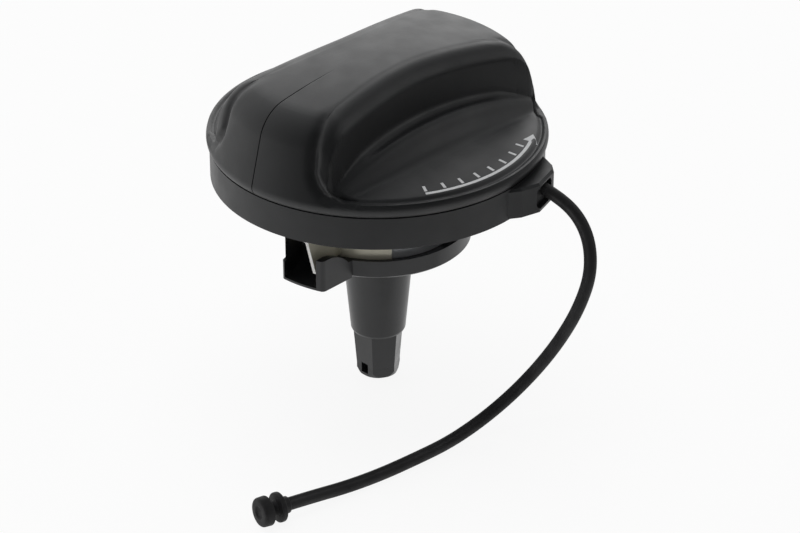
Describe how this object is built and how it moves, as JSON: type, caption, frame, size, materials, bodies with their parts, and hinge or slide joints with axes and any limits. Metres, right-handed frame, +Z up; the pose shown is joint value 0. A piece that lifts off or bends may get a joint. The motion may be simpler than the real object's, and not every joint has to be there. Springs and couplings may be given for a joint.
{
  "type": "fuel filler cap",
  "caption": "Screw-free fuel filler cap: ratcheting grip over a sprung bayonet closure, with relief valves, a probe stem and a tether strap.",
  "frame": {"origin": "centre of the main seal's lower face, the plane that meets the filler neck", "axes": "+Z up out of the neck to the grip, +X along the grip bar, +Y across the bar away from the tether's boss"},
  "size_m": [0.1122, 0.1004, 0.0911],
  "materials": {
    "grip_plastic": "fine-textured black polypropylene",
    "ring_plastic": "satin black polypropylene",
    "closure_plastic": "satin black acetal",
    "stem_plastic": "satin black nylon",
    "strap_elastomer": "matt black thermoplastic elastomer",
    "seal_rubber": "black nitrile rubber",
    "acetal": "natural acetal",
    "spring_steel": "rolled spring steel with bright sheared edges",
    "sleeve_steel": "drawn zinc-plated steel",
    "wire_steel": "drawn spring wire"
  },
  "bodies": {
    "closure": {"closure_body": "closure_plastic", "valve_seat": "closure_plastic", "main_seal": "seal_rubber", "ratchet_ring": "acetal", "core_sleeve": "sleeve_steel", "lug_carrier": "closure_plastic", "bayonet_spring_left": "spring_steel", "bayonet_spring_right": "spring_steel", "valve_stem": "stem_plastic", "stem_seal": "seal_rubber", "probe_tip": "stem_plastic", "spring_retainer": "acetal", "pressure_spring": "wire_steel"},
    "grip": {"grip_cover": "grip_plastic"},
    "tether": {"tether_ring": "ring_plastic", "strap_anchor": "strap_elastomer", "tether_strap": "strap_elastomer", "tether_knob": "strap_elastomer"},
    "pressure": {"pressure_plate": "acetal", "pressure_gasket": "seal_rubber", "vacuum_spring": "wire_steel"},
    "vacuum": {"vacuum_valve": "acetal", "vacuum_clip": "wire_steel"}
  },
  "joints": [
    {"name": "grip_turn", "type": "hinge", "parent": "closure", "child": "grip", "pos_m": [0, 0, 0], "axis": [0, 0, 1], "continuous": true},
    {"name": "tether_swivel", "type": "hinge", "parent": "closure", "child": "tether", "pos_m": [0, 0, 0], "axis": [0, 0, 1], "continuous": true},
    {"name": "pressure_lift", "type": "slide", "parent": "closure", "child": "pressure", "axis": [0, 0, 1], "range_m": [0, 0.002], "stiffness_N_per_m": 600, "springref_m": -0.006, "deforming": ["pressure_spring"]},
    {"name": "vacuum_drop", "type": "slide", "parent": "pressure", "child": "vacuum", "axis": [0, 0, 1], "range_m": [-0.0015, 0], "stiffness_N_per_m": 100, "springref_m": 0.004, "deforming": ["vacuum_spring"]}
  ]
}
